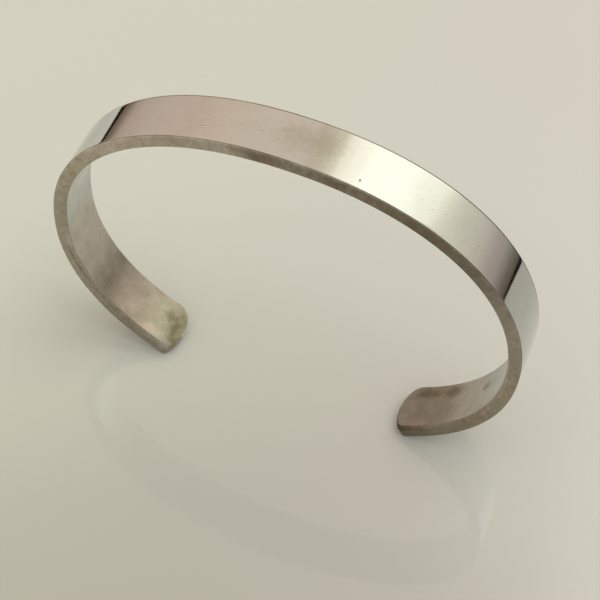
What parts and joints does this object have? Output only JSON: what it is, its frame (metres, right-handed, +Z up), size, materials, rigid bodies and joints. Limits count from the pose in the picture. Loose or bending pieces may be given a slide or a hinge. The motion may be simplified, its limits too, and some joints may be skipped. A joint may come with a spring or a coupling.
{
  "type": "bangle bracelet",
  "caption": "Open cuff bangle: a plain flat metal strip with rounded ends, bent to an oval with a gap for the wrist.",
  "frame": {"origin": "middle of the base: the ground under the cuff, midway across its width and its band, where both tips stand", "axes": "+X across the cuff towards the arm that stands right of the opening, +Y through the cuff along the band's width, +Z up from the opening to the top of the oval"},
  "size_m": [0.064, 0.0074, 0.0482],
  "materials": {
    "polished_steel": "mirror polish on the outer face, worn satin on the edges and the inner face"
  },
  "bodies": {
    "root": {"cuff_band": "polished_steel"}
  },
  "joints": []
}
